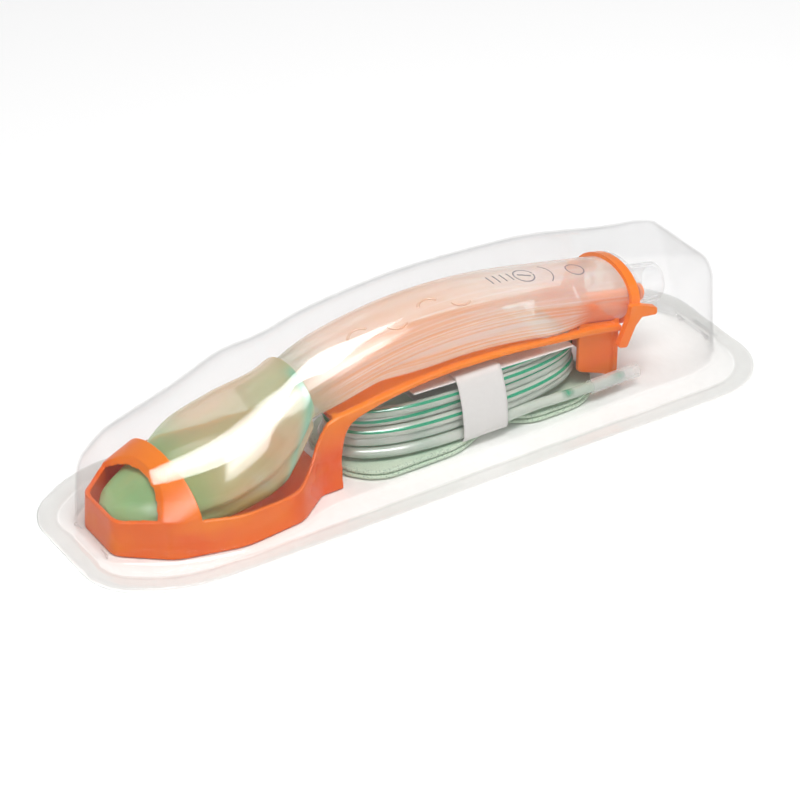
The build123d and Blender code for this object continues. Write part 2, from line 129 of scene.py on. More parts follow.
def rounded_outline(corners, step=2.5):
    """Points round a closed outline, symmetric about the X axis, whose corners (x, y, radius) are arcs."""
    ring = corners + [(x, -y, radius) for x, y, radius in reversed(corners)]
    points = []
    for index, (x, y, radius) in enumerate(ring):
        corner = Vector((x, y))
        before = (Vector(ring[index - 1][:2]) - corner).normalized()
        after = (Vector(ring[(index + 1) % len(ring)][:2]) - corner).normalized()
        half_turn = (math.pi - before.angle(after)) / 2
        reach = radius * math.tan(half_turn)
        start, end = corner + before * reach, corner + after * reach
        centre = corner + (before + after).normalized() * (radius / math.cos(half_turn))
        count = max(4, round(2 * half_turn * radius / step))
        for number in range(count + 1):
            swing = start.lerp(end, number / count) - centre
            points.append(centre + swing.normalized() * radius)
    return points


def spread_evenly(points, count):
    """The same closed line with a given number of evenly spaced points."""
    lengths = [(b - a).length for a, b in zip(points, points[1:] + points[:1])]
    total, result, index, passed = sum(lengths), [], 0, 0.0
    for number in range(count):
        target = total * number / count
        while passed + lengths[index] < target:
            passed += lengths[index]
            index += 1
        share = (target - passed) / lengths[index]
        result.append(points[index].lerp(points[(index + 1) % len(points)], share))
    return result


def cross(a, b):
    return a.x * b.y - a.y * b.x


def outline_hit(outline, origin, direction):
    """How far the outline is from the origin along the direction."""
    best = 0.0
    for a, b in zip(outline, outline[1:] + outline[:1]):
        span = b - a
        across = cross(direction, span)
        if abs(across) < 1e-9:
            continue
        distance = cross(a - origin, span) / across
        share = cross(a - origin, direction) / across
        if -1e-6 <= share <= 1 + 1e-6 and distance > best:
            best = distance
    return best


# ---- mesh helpers ----


def make_piece(name, points, faces, material, body):
    """A mesh object from points in millimetres, with a material, riding on a body."""
    mesh = bpy.data.meshes.new(name)
    mesh.from_pydata([Vector(p) * MM for p in points], [], faces)
    mesh.validate()
    shape = bmesh.new()
    shape.from_mesh(mesh)
    bmesh.ops.recalc_face_normals(shape, faces=shape.faces)
    shape.to_mesh(mesh)
    shape.free()
    mesh.polygons.foreach_set("use_smooth", [True] * len(mesh.polygons))
    piece = bpy.data.objects.new(name, mesh)
    bpy.context.scene.collection.objects.link(piece)
    mesh.materials.append(material)
    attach(piece, body)
    return piece


def add_number(piece, name, values):
    """A number on each vertex that the material reads by its name."""
    attribute = piece.data.attributes.new(name, "FLOAT", "POINT")
    attribute.data.foreach_set("value", values)


def loft_faces(ring_count, ring_size, closed=True, first=0):
    """Quads between rings of points, each ring after the one before it."""
    faces = []
    for ring in range(ring_count - 1):
        for number in range(ring_size if closed else ring_size - 1):
            a = first + ring * ring_size + number
            b = first + ring * ring_size + (number + 1) % ring_size
            faces.append((a, b, b + ring_size, a + ring_size))
    return faces


def end_caps(ring_count, ring_size, first=0):
    last = first + (ring_count - 1) * ring_size
    return [tuple(range(first, first + ring_size)), tuple(range(last, last + ring_size))]


def weld(piece, reach_mm):
    """Joins points of a mesh that lie on each other."""
    shape = bmesh.new()
    shape.from_mesh(piece.data)
    bmesh.ops.remove_doubles(shape, verts=shape.verts, dist=reach_mm * MM)
    shape.to_mesh(piece.data)
    shape.free()


def modifier(piece, kind, **settings):
    made = piece.modifiers.new(kind.lower(), kind)
    for name, value in settings.items():
        setattr(made, name, value)
    return made


def soften_edges(piece, width_mm):
    """Rounds a CAD node's sharp edges a little, as a mould leaves them."""
    sharp = math.radians(40)
    modifier(piece, "BEVEL", width=width_mm * MM, segments=2, limit_method="ANGLE", angle_limit=sharp)
    modifier(piece, "WEIGHTED_NORMAL", keep_sharp=False)


# ---- materials ----


class Paint:
    """A material made of nodes that end in one Principled shader."""

    def __init__(self, name, **values):
        self.material = bpy.data.materials.new(name)
        self.material.use_nodes = True
        self.nodes = self.material.node_tree.nodes
        self.links = self.material.node_tree.links
        self.shader = next(node for node in self.nodes if node.type == "BSDF_PRINCIPLED")
        for socket, value in values.items():
            self.shader.inputs[socket.replace("_", " ")].default_value = value

    def node(self, kind, inputs=(), **settings):
        made = self.nodes.new(kind)
        for name, value in settings.items():
            setattr(made, name, value)
        for socket, value in dict(inputs).items():
            if isinstance(value, bpy.types.NodeSocket):
                self.links.new(value, made.inputs[socket])
            else:
                made.inputs[socket].default_value = value
        return made

    def set(self, socket, source):
        self.links.new(source, self.shader.inputs[socket])

    def place(self):
        return self.node("ShaderNodeTexCoord").outputs["Object"]

    def noise(self, scale, detail=3.0, stretch=(1, 1, 1)):
        moved = self.node("ShaderNodeMapping", {"Vector": self.place(), "Scale": stretch})
        values = {"Vector": moved.outputs["Vector"], "Scale": scale, "Detail": detail}
        return self.node("ShaderNodeTexNoise", values).outputs["Fac"]

    def spots(self, scale):
        values = {"Vector": self.place(), "Scale": scale}
        return self.node("ShaderNodeTexVoronoi", values).outputs["Distance"]

    def number(self, name):
        return self.node("ShaderNodeAttribute", attribute_name=name).outputs["Fac"]

    def axis(self, name):
        """One coordinate of the surface point, in metres."""
        return self.node("ShaderNodeSeparateXYZ", {"Vector": self.place()}).outputs[name]

    def math(self, operation, a, b=0.0, c=0.0):
        return self.node("ShaderNodeMath", {0: a, 1: b, 2: c}, operation=operation).outputs[0]

    def scaled(self, value, from_low, from_high, to_low=0.0, to_high=1.0):
        inputs = {"Value": value, 1: from_low, 2: from_high, 3: to_low, 4: to_high}
        return self.node("ShaderNodeMapRange", inputs).outputs[0]

    def blend(self, share, low, high):
        made = self.node("ShaderNodeMix", data_type="RGBA")
        for socket, value in (("Factor_Float", share), ("A_Color", low), ("B_Color", high)):
            target = next(s for s in made.inputs if s.identifier == socket)
            if isinstance(value, bpy.types.NodeSocket):
                self.links.new(value, target)
            else:
                target.default_value = value
        return next(s for s in made.outputs if s.identifier == "Result_Color")

    def rough(self, source, low, high):
        self.set("Roughness", self.scaled(source, 0.3, 0.7, low, high))

    def bump(self, height, distance_mm, strength=1.0):
        values = {"Height": height, "Distance": distance_mm * MM, "Strength": strength}
        self.set("Normal", self.node("ShaderNodeBump", values).outputs["Normal"])

    def edge_on(self, power):
        """0 where the surface faces the eye and 1 where it is seen edge on, for clear film and gloss."""
        facing = self.node("ShaderNodeLayerWeight", {"Blend": 0.5}).outputs["Facing"]
        return self.math("POWER", facing, power)


def rgb(red, green, blue):
    """A colour given as 0 to 255 screen values, for a shader socket."""
    def linear(value):
        value /= 255
        return value / 12.92 if value <= 0.04045 else ((value + 0.055) / 1.055) ** 2.4
    return (linear(red), linear(green), linear(blue), 1.0)


def blister_film():
    paint = Paint("blister_film", IOR=2.3, Specular_IOR_Level=1.0)
    haze = paint.noise(40.0, 4.0)
    seal = paint.number("seal")
    clear_tone = paint.blend(haze, rgb(96, 96, 99), rgb(126, 126, 128))
    paint.set("Base Color", paint.blend(seal, clear_tone, rgb(204, 206, 204)))
    paint.rough(haze, 0.07, 0.13)
    edge = paint.edge_on(3.5)
    clear = paint.scaled(edge, 0.0, 1.0, 0.048, 0.34)
    sealed = paint.math("MULTIPLY", seal, 0.13)
    paint.set("Alpha", paint.math("ADD", clear, sealed))
    grain = paint.math("MULTIPLY", paint.spots(900.0), seal)
    flow = paint.noise(14.0, 2.0, (0.35, 1.0, 1.0))
    paint.bump(paint.math("ADD", grain, paint.math("MULTIPLY", flow, 2.2)), 0.07, 0.5)
    return paint.material


def lid_sheet_paint():
    paint = Paint("lid_sheet", Specular_IOR_Level=0.25)
    fibres = paint.noise(900.0, 6.0, (1.0, 0.3, 1.0))
    paint.set("Base Color", paint.blend(fibres, rgb(240, 240, 237), rgb(252, 252, 250)))
    paint.rough(fibres, 0.62, 0.8)
    paint.bump(fibres, 0.05, 0.4)
    return paint.material


def orange_plastic(name, base, deep, light, gloss):
    paint = Paint(name, IOR=1.5, Specular_IOR_Level=0.2)
    cloud = paint.noise(26.0, 3.0)
    flow = paint.noise(60.0, 2.0, (0.25, 1.0, 1.0))
    tone = paint.blend(paint.scaled(cloud, 0.35, 0.65), deep, base)
    streaked = paint.blend(paint.scaled(flow, 0.55, 0.8, 0.0, 0.5), tone, light)
    # Painted light: higher up, the orange is blended toward the lighter tone, as if lit from above.
    painted_top_light = paint.scaled(paint.axis("Z"), 0.016, 0.034, 0.0, 0.55)
    paint.set("Base Color", paint.blend(painted_top_light, streaked, light))
    paint.rough(cloud, gloss, gloss + 0.12)
    grain = paint.noise(1400.0, 3.0)
    paint.bump(paint.math("ADD", grain, paint.math("MULTIPLY", flow, 1.5)), 0.03, 0.35)
    return paint.material


def stem_gel():
    """Clear gel with streaks that run along the stem, greener at the toe, with a painted pink-orange glow of
    the cradle's light in its tones and a stronger painted orange glow low down at the ring.
    """
    paint = Paint("stem_gel", IOR=1.6, Subsurface_Weight=0.1, Subsurface_Scale=0.004)
    along = paint.math("MULTIPLY", paint.axis("X"), 9.0)
    around = paint.math("MULTIPLY", paint.number("round"), 15.0)
    skin_spot = paint.node("ShaderNodeCombineXYZ", {"X": along, "Y": around}).outputs["Vector"]
    values = {"Vector": skin_spot, "Scale": 1.0, "Detail": 4.0}
    streak = paint.node("ShaderNodeTexNoise", values).outputs["Fac"]
    cloud = paint.noise(24.0, 3.0, (0.5, 1.0, 1.0))
    # Painted light: the pink-orange in both tones stands in for light from the orange cradle scattering in
    # the clear gel.
    upper = paint.blend(paint.scaled(cloud, 0.35, 0.65), rgb(253, 206, 172), rgb(254, 246, 238))
    lower = paint.blend(paint.scaled(streak, 0.4, 0.6), rgb(253, 196, 146), rgb(255, 252, 244))
    tone = paint.blend(paint.number("low_part"), upper, lower)
    streaked = paint.blend(paint.scaled(streak, 0.52, 0.68, 0.0, 0.75), tone, rgb(253, 244, 236))
    green = paint.blend(paint.number("toe_side"), streaked, rgb(196, 198, 170))
    # Painted light: a deep orange glow low down near the ring stands in for the orange cradle and plug
    # lighting the gel; the gel is also less clear there.
    paint.set("Base Color", paint.blend(paint.number("painted_cradle_glow"), green, rgb(253, 124, 40)))
    paint.rough(cloud, 0.1, 0.2)
    body = paint.scaled(paint.edge_on(2.0), 0.0, 1.0, 0.4, 0.85)
    paint.set("Alpha", paint.math("MAXIMUM", body, paint.math("MULTIPLY", paint.number("painted_cradle_glow"), 0.6)))
    paint.bump(paint.math("ADD", cloud, streak), 0.45, 0.3)
    return paint.material


def cuff_gel():
    """Soft gel: green at the toe, painted tan high on its sides and painted olive low down for the orange
    cradle's light through the gel, with a pale rear edge.
    """
    paint = Paint("cuff_gel", IOR=1.6, Subsurface_Weight=0.1, Subsurface_Scale=0.004)
    cloud = paint.noise(30.0, 2.0, (0.6, 1.0, 1.0))
    green = paint.blend(paint.scaled(cloud, 0.3, 0.7), rgb(124, 222, 160), rgb(192, 220, 152))
    # Painted light: tan high up and olive low down stand in for orange light from the cradle coming through
    # the green gel, darker low down.
    painted_cradle_light_tone = paint.blend(paint.number("low_part"), rgb(240, 208, 168), rgb(164, 158, 24))
    mixed = paint.blend(paint.scaled(cloud, 0.4, 0.62, 0.0, 0.75), painted_cradle_light_tone, rgb(198, 214, 162))
    rear = paint.blend(paint.number("rear"), green, mixed)
    paint.set("Base Color", paint.blend(paint.number("rim"), rear, rgb(150, 214, 182)))
    paint.rough(cloud, 0.12, 0.24)
    body = paint.scaled(paint.edge_on(2.0), 0.0, 1.0, 0.5, 0.92)
    paint.set("Alpha", paint.math("ADD", body, paint.math("MULTIPLY", paint.number("rim"), 0.1)))
    paint.bump(cloud, 0.4, 0.3)
    return paint.material


def clear_plastic(name, tint, alpha):
    paint = Paint(name, IOR=1.9)
    haze = paint.noise(70.0, 3.0)
    paint.set("Base Color", paint.blend(haze, tint, rgb(250, 250, 250)))
    paint.rough(haze, 0.06, 0.16)
    paint.set("Alpha", paint.scaled(paint.edge_on(2.5), 0.0, 1.0, alpha, 0.85))
    paint.bump(haze, 0.1, 0.3)
    return paint.material


def tube_pvc():
    paint = Paint("tube_pvc", IOR=1.7)
    cloud = paint.noise(55.0, 3.0)
    body = paint.blend(paint.scaled(cloud, 0.3, 0.7), rgb(202, 222, 206), rgb(240, 243, 234))
    stripe = paint.math("LESS_THAN", paint.number("around"), 0.095)
    mark = paint.number("mark")
    green = paint.math("MAXIMUM", stripe, mark)
    paint.set("Base Color", paint.blend(green, body, rgb(0, 158, 112)))
    clear = paint.scaled(paint.edge_on(1.6), 0.0, 1.0, 0.52, 0.95)
    paint.set("Alpha", paint.math("MAXIMUM", clear, paint.math("MULTIPLY", green, 0.95)))
    paint.rough(cloud, 0.12, 0.24)
    paint.bump(cloud, 0.06, 0.3)
    return paint.material


def strap_foam():
    paint = Paint("strap_foam", Sheen_Weight=0.2, Specular_IOR_Level=0.3)
    weave = paint.spots(1500.0)
    cloud = paint.noise(45.0, 3.0)
    soft = paint.blend(paint.scaled(cloud, 0.3, 0.7), rgb(190, 212, 188), rgb(210, 224, 202))
    cells = paint.scaled(paint.spots(1100.0), 0.0, 0.45, 1.0, 0.0)
    dots = paint.math("MULTIPLY", cells, paint.number("cut_edge"))
    paint.set("Base Color", paint.blend(dots, soft, rgb(122, 150, 130)))
    paint.rough(cloud, 0.6, 0.8)
    paint.bump(weave, 0.12, 0.5)
    return paint.material


def band_paper():
    paint = Paint("band_paper", Specular_IOR_Level=0.3)
    fibres = paint.noise(700.0, 6.0)
    cloud = paint.noise(30.0, 2.0)
    mottle = paint.math("MULTIPLY", fibres, cloud)
    paint.set("Base Color", paint.blend(mottle, rgb(222, 219, 216), rgb(236, 234, 232)))
    paint.rough(fibres, 0.45, 0.62)
    paint.bump(fibres, 0.03, 0.4)
    return paint.material


def sachet_film():
    paint = Paint("sachet_film", IOR=1.5)
    cloud = paint.noise(40.0, 4.0)
    crimp = paint.node("ShaderNodeTexWave", {"Vector": paint.place(), "Scale": 320.0}).outputs["Fac"]
    seal = paint.number("crimp")
    paint.set("Base Color", paint.blend(cloud, rgb(236, 236, 234), rgb(250, 249, 247)))
    paint.rough(cloud, 0.22, 0.4)
    paint.bump(paint.math("ADD", cloud, paint.math("MULTIPLY", crimp, seal)), 0.15, 0.4)
    return paint.material


def print_ink():
    paint = Paint("print_ink")
    worn = paint.noise(600.0, 4.0)
    paint.set("Base Color", paint.blend(worn, rgb(120, 118, 128), rgb(165, 160, 168)))
    paint.rough(worn, 0.4, 0.6)
    paint.set("Alpha", paint.scaled(worn, 0.3, 0.7, 0.85, 0.45))
    return paint.material


def floor_paint():
    paint = Paint("studio_floor", Specular_IOR_Level=0.1)
    cloud = paint.noise(2.0, 2.0)
    paint.set("Base Color", paint.blend(cloud, rgb(250, 250, 250), rgb(253, 253, 253)))
    paint.rough(cloud, 0.8, 0.9)
    return paint.material


# ---- blister pack ----

FILM = 0.6
# The flange's top lies above the lid by a small gap and the flange's own film.
FLANGE_RISE = 0.85
FLANGE_TOP = box_mm("peel_lid")[1].z + FLANGE_RISE
BASE_RADIUS = 1.5
SEAL_WIDTH = 7.2
DOME_STATIONS = 96
TOP_POINTS = 8
EDGE_POINTS = 10
WALL_POINTS = 10
FLANGE_SPINE_HALF = 112.0
EDGE_WAVER = 0.9
WELD_REACH = 0.02
LID_SPINE_HALF = 100.0
LID_PUCKER = 0.12


def dome_half_section(x):
    """(y, z) down one side of the dome from the middle of its top to its base."""
    half = smooth_value(DOME_PLAN, x)
    top = smooth_value(DOME_TOP_LINE, x)
    radius = min(smooth_value(DOME_EDGE_RADIUS, x), 0.8 * top, 0.8 * half)
    shoulder = half - math.tan(DOME_LEAN) * top
    flat_end = shoulder - radius * math.tan((math.pi / 2 - DOME_LEAN) / 2)
    points = [(flat_end * number / TOP_POINTS, top) for number in range(TOP_POINTS)]
    for number in range(EDGE_POINTS + 1):
        angle = math.radians(90) - (math.pi / 2 - DOME_LEAN) * number / EDGE_POINTS
        points.append((flat_end + radius * math.cos(angle), top - radius + radius * math.sin(angle)))
    y, z = points[-1]
    base = FLANGE_TOP + BASE_RADIUS
    for number in range(1, WALL_POINTS + 1):
        share = number / WALL_POINTS
        height = z + (base - z) * share
        points.append((half - math.tan(DOME_LEAN) * (height - FLANGE_TOP), height))
    return points


def dome_points():
    """Points of the dome's cross sections from nose to tail, and how many each section has."""
    middle, half_length = (NOSE_X + TAIL_X) / 2, (TAIL_X - NOSE_X) / 2
    foot_height = FLANGE_TOP + BASE_RADIUS
    points = []
    for station in range(DOME_STATIONS + 1):
        x = middle - half_length * math.cos(math.pi * station / DOME_STATIONS)
        side = dome_half_section(x)
        section = [(-y, z) for y, z in reversed(side[1:])] + side
        points += [(x, y, z) for y, z in section]
    size = len(section)
    for first in (0, DOME_STATIONS * size):
        x, near, far = points[first][0], points[first][1], points[first + size - 1][1]
        for number in range(size):
            points[first + number] = (x, near + (far - near) * number / (size - 1), foot_height)
    return points, size


def flange_rays(foot):
    """For each point of the dome's foot: the spine point behind it, the way out, and two distances."""
    outline = rounded_outline(FLANGE_CORNERS)
    rays = []
    for x, y, _ in foot:
        spine = Vector((min(max(x, -FLANGE_SPINE_HALF), FLANGE_SPINE_HALF), 0.0))
        out = Vector((x, y)) - spine
        direction = out.normalized()
        rays.append((spine, direction, out.length, outline_hit(outline, spine, direction)))
    return rays


def blister():
    """One film: the dome, the rounded foot of its wall, the flange and the sealed ring round its edge."""
    points, size = dome_points()
    last = DOME_STATIONS * size
    faces = loft_faces(DOME_STATIONS + 1, size, closed=False)
    foot = [station * size for station in range(DOME_STATIONS)] + list(range(last, last + size))
    foot += [station * size + size - 1 for station in range(DOME_STATIONS - 1, 0, -1)]
    foot += list(range(size - 1, 0, -1))
    seal = [0.0] * len(points)
    rays = flange_rays([points[index] for index in foot])
    previous = foot
    for ring in flange_profile():
        start = len(points)
        for number, (spine, direction, base, edge) in enumerate(rays):
            waver = 0.5 + 0.5 * math.sin(number * 0.11) * math.sin(number * 0.043 + 1.0)
            spot = spine + direction * ring["reach"](base, edge - EDGE_WAVER * waver)
            points.append((spot.x, spot.y, ring["height"]))
            seal.append(ring["seal"])
        current = list(range(start, start + len(rays)))
        for number in range(len(rays)):
            after = (number + 1) % len(rays)
            faces.append((previous[number], previous[after], current[after], current[number]))
        previous = current
    piece = make_piece("blister", points, faces, blister_film(), "dome")
    add_number(piece, "seal", seal)
    weld(piece, WELD_REACH)
    modifier(piece, "SOLIDIFY", thickness=FILM * MM, offset=-1.0)
    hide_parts("blister_dome", "blister_flange")


def film_ring(reach, lift, seal):
    """One ring of the flange: how far out it lies, its height and how far it is sealed."""
    return {"reach": reach, "height": FLANGE_TOP + lift, "seal": seal}


def past_foot(out):
    return lambda base, edge: base + out


def seal_step(inside):
    return lambda base, edge: max(edge - SEAL_WIDTH - inside, base + 2.9 + (1.0 - inside))


def inside_edge(inside):
    return lambda base, edge: edge - inside


def flange_profile():
    """Rings from the foot of the dome's wall to the flange's edge."""
    rings = []
    for number in range(1, 6):
        angle = math.radians(90 - 18 * number)
        out, lift = BASE_RADIUS * (1 - math.sin(angle)), BASE_RADIUS * (1 - math.cos(angle))
        rings.append(film_ring(past_foot(out), lift, 0.0))
    for out, lift in ((2.0, 0.0), (2.4, 0.12), (2.8, 0.0)):
        rings.append(film_ring(past_foot(out), lift, 0.0))
    for inside, lift, seal in ((1.0, 0.0, 0.0), (0.6, -0.3, 0.0), (0.1, -0.3, 0.5), (-0.2, 0.05, 1.0)):
        rings.append(film_ring(seal_step(inside), lift, seal))
    for inside, lift in ((5.0, 0.0), (2.6, 0.0), (0.9, 0.08), (0.35, 0.0), (0.0, -0.2)):
        rings.append(film_ring(inside_edge(inside), lift, 1.0 if inside > 0.5 else 0.4))
    return rings


def lid_sheet():
    """The peel-off sheet that closes the pack, sealed under the flange."""
    low, high = box_mm("peel_lid")
    outline = spread_evenly(rounded_outline(FLANGE_CORNERS), 240)
    shares = [0.02, 0.15, 0.3, 0.45, 0.6, 0.75, 0.86, 0.95, 0.99, 1.0]
    points = []
    for side, share_list in ((high.z, shares), (low.z, list(reversed(shares)))):
        for share in share_list:
            for spot in outline:
                spine = Vector((min(max(spot.x, -LID_SPINE_HALF), LID_SPINE_HALF), 0.0))
                place = spine.lerp(spot, share)
                ripple = 0.5 + 0.5 * math.sin(place.x * 0.21) * math.cos(place.y * 0.17)
                pucker = LID_PUCKER * (1 - share) * ripple
                points.append((place.x, place.y, side - pucker if side > low.z else side))
    size, count = len(outline), 2 * len(shares)
    faces = loft_faces(count, size) + end_caps(count, size)
    piece = make_piece("lid_sheet", points, faces, lid_sheet_paint(), "lid")
    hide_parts("peel_lid")


# ---- airway ----


def stem_frame(x):
    """Middle of the stem at x, and the directions across it and up from it."""
    slope = stem_height(x + 0.5) - stem_height(x - 0.5)
    along = Vector((1.0, 0.0, slope)).normalized()
    return Vector((x, 0.0, stem_height(x))), Vector((0, 1, 0)), Vector((-along.z, 0.0, along.x))


def stem_point(x, angle):
    """A point on the stem's skin. Angle 0 is the far side and 90 degrees is the top."""
    middle, across, up = stem_frame(x)
    wide, high = math.cos(angle), math.sin(angle)
    if high < 0:
        power = 2 / (2 + 3.2 * smooth_step(-24.0, 6.0, x) * smooth_step(74.0, 50.0, x))
        wide = math.copysign(abs(wide) ** power, wide)
        high = -(abs(high) ** power)
    groove = 0.7 * hump(math.sin(angle), 0.38, 0.1) + 0.3 * hump(math.sin(angle), -0.12, 0.06)
    waist = 1.0 - 0.12 * hump(x, -52.0, 10.0)
    width = (STEM_HALF_WIDTH - groove) * waist
    height = (STEM_HALF_HEIGHT - 0.35 * groove) * waist
    return middle + across * (width * wide) + up * (height * high)


def airway_stem():
    stations, size = 84, 64
    points, numbers = [], {"low_part": [], "round": [], "toe_side": [], "painted_cradle_glow": []}
    for station in range(stations + 1):
        x = STEM_START_X + (STEM_END_X - STEM_START_X) * station / stations
        for number in range(size):
            angle = 2 * math.pi * number / size
            high = math.sin(angle)
            points.append(stem_point(x, angle))
            numbers["low_part"].append(smooth_step(0.6, 0.25, high) * smooth_step(-60.0, -30.0, x))
            numbers["round"].append(high)
            numbers["toe_side"].append(smooth_step(-28.0, -48.0, x))
            # Painted orange glow: the lower half of the stem near the ring.
            numbers["painted_cradle_glow"].append(smooth_step(62.0, 72.0, x) * smooth_step(0.45, 0.2, high) * 0.9)
    faces = loft_faces(stations + 1, size) + end_caps(stations + 1, size)
    piece = make_piece("stem", points, faces, stem_gel(), "airway")
    for name, values in numbers.items():
        add_number(piece, name, values)
    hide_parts("airway_stem")
    wall = clear_plastic("passage_wall", rgb(250, 214, 190), 0.06)
    inner_channel("airway_passage", 1.0, 1.2, 8.6, 6.2, wall)
    inner_channel("gastric_passage", 11.6, -2.6, 2.6, 2.6, wall)


def inner_channel(name, across_mm, up_mm, half_width, half_height, material):
    """A passage inside the stem, seen through its clear wall."""
    stations, size = 60, 24
    start, end = STEM_START_X + 4.0, STEM_END_X - 0.5
    points = []
    for station in range(stations + 1):
        x = start + (end - start) * station / stations
        middle, across, up = stem_frame(x)
        for number in range(size):
            angle = 2 * math.pi * number / size
            side = across * (across_mm + half_width * math.cos(angle))
            points.append(middle + side + up * (up_mm + half_height * math.sin(angle)))
    faces = loft_faces(stations + 1, size) + end_caps(stations + 1, size)
    make_piece(name, points, faces, material, "airway")


def skin_line(name, path, half_width, lift, material):
    """A narrow raised or printed line on the stem's skin, through (x, angle) places."""
    points = []
    for index, (x, angle) in enumerate(path):
        here = stem_point(x, angle)
        before = stem_point(*path[max(index - 1, 0)])
        after = stem_point(*path[min(index + 1, len(path) - 1)])
        along = (after - before).normalized()
        _, across, up = stem_frame(x)
        normal = across * math.cos(angle) / STEM_HALF_WIDTH + up * math.sin(angle) / STEM_HALF_HEIGHT
        normal.normalize()
        side = along.cross(normal).normalized() * half_width
        points += [here + side - normal * 0.1, here + side * 0.6 + normal * lift,
                   here - side * 0.6 + normal * lift, here - side - normal * 0.1]
    faces = loft_faces(len(path), 4) + end_caps(len(path), 4)
    make_piece(name, points, faces, material, "airway")


def mark_arc(x, angle, radius_mm, start, end, count=20):
    """Places along an arc on the stem's top, round (x, angle)."""
    places = []
    for number in range(count + 1):
        turn = math.radians(start + (end - start) * number / count)
        places.append((x + radius_mm * math.cos(turn), angle + radius_mm * math.sin(turn) / STEM_HALF_WIDTH))
    return places


def stem_marks():
    """Generic grey marks printed on the bite block, and shallow moulded arcs further down."""
    ink = print_ink()
    top = math.radians(97)
    skin_line("print_ring", mark_arc(48.0, top, 4.0, 0, 350), 0.38, 0.05, ink)
    skin_line("print_bar", [(45.6, top - 0.05), (48.0, top), (50.4, top + 0.05)], 0.6, 0.05, ink)
    skin_line("print_arc", mark_arc(53.0, top, 7.0, -50, 50), 0.3, 0.05, ink)
    for number in range(4):
        x = 33.4 + 2.9 * number
        dash = [(x, top - 0.16), (x + 0.2, top - 0.02), (x + 0.5, top + 0.12)]
        skin_line(f"print_dash_{number}", dash, 0.42, 0.05, ink)
    skin_line("print_pill", mark_arc(71.0, top, 3.6, 0, 355), 0.35, 0.05, ink)
    raised = bpy.data.materials["stem_gel"]
    for number, x in enumerate((-22.0, -8.0, 6.0, 18.0)):
        reach = (50, 160) if number % 2 else (200, 330)
        skin_line(f"moulded_arc_{number}", mark_arc(x, math.radians(112), 4.2, *reach), 0.6, 0.35, raised)


# Cross sections of the cuff as (x, half width, bottom, top).
CUFF_SECTIONS = [
    (-125.5, 6.0, 6.0, 13.5), (-121.0, 12.0, 4.0, 16.2), (-112.0, 17.6, 2.8, 19.2),
    (-102.0, 21.4, 2.5, 23.4), (-86.0, 26.6, 2.5, 33.2), (-72.0, 25.5, 3.2, 38.8),
    (-60.0, 21.0, 8.0, 43.2), (-50.0, 17.6, 21.5, 46.8),
]


def cuff_value(column, x):
    return smooth_value([(section[0], section[column]) for section in CUFF_SECTIONS], x)


def gel_cuff():
    """Soft mask: a boat-shaped body with a rolled edge along its side, a toe ridge and a rear rim."""
    stations, size = 90, 72
    start, end = CUFF_SECTIONS[0][0], CUFF_SECTIONS[-1][0]
    points, rim, rear, low_part = [], [], [], []
    for station in range(stations + 1):
        x = start + (end - start) * (1 - math.cos(math.pi * station / stations / 1.02)) / 2
        half, bottom, top = (cuff_value(column, x) for column in (1, 2, 3))
        middle, height = (top + bottom) / 2, (top - bottom) / 2
        for number in range(size):
            angle = 2 * math.pi * number / size
            wide, high = math.cos(angle), math.sin(angle)
            crease = 0.10 * hump(high, -0.12, 0.14) * smooth_step(-118, -104, x)
            roll = 0.05 * hump(high, -0.55, 0.16) - crease
            bowl = 0.22 * hump(wide, 0.0, 0.45) * smooth_step(0.0, -1.0, high) * smooth_step(-112, -96, x)
            ridge = 0.07 * hump(wide, 0.0, 0.12) * smooth_step(0.2, 0.9, high) * smooth_step(-104, -116, x)
            spot = Vector((x, wide * half * (1 + roll), middle + high * height * (1 - bowl + ridge)))
            edge_x = -51.0 - max(0.0, 40.0 - spot.z) * 0.5
            on_rim = hump(x, edge_x, 2.2) * smooth_step(-80, -70, x)
            spot.y *= 1 + 0.05 * on_rim
            points.append(spot)
            rim.append(on_rim * smooth_step(0.1, -0.3, wide))
            rear.append(smooth_step(-104.0, -84.0, x))
            # Mask for the painted olive low down on the cuff's sides.
            low_part.append(smooth_step(21.0, 9.0, spot.z))
    faces = loft_faces(stations + 1, size) + end_caps(stations + 1, size)
    piece = make_piece("cuff", points, faces, cuff_gel(), "airway")
    add_number(piece, "rim", rim)
    add_number(piece, "rear", rear)
    add_number(piece, "low_part", low_part)
    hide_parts("gel_cuff")


# ---- coil of tube, its strap, band and sachet ----

TUBE_RADIUS = 2.0
COIL_TURNS = 5
COIL_STEPS = 24
COIL_MIDDLE_X = 15.5
COIL_HALF_LENGTH = 50.4
COIL_TAIL_LENGTH = 55.3
COIL_HALF_WIDTH = 20.6
COIL_FIRST_Z = 6.95
COIL_TURN_RISE = 3.78
COIL_TAPER = math.tan(math.radians(13))
COIL_TAIL_TAPER = 0.15
COIL_LAYER_SHIFT = 0.7
COIL_PINCH = 0.03
COIL_TAIL_FALL = 0.0016
COIL_WANDER = (0.15, 0.1)
BAND_MIDDLE_X = 19.75
# The free end: through the band, then along to the sleeve.
TUBE_UNDER_BAND = [(15.5, -20.3, 6.95), (31.0, -19.9, 7.1)]
TUBE_END_ROUTE = [
    (46.0, -19.8, 7.6), (56.0, -20.6, 7.5), (66.0, -20.4, 7.2), (76.0, -19.9, 6.85), (84.5, -19.35, 6.5),
]


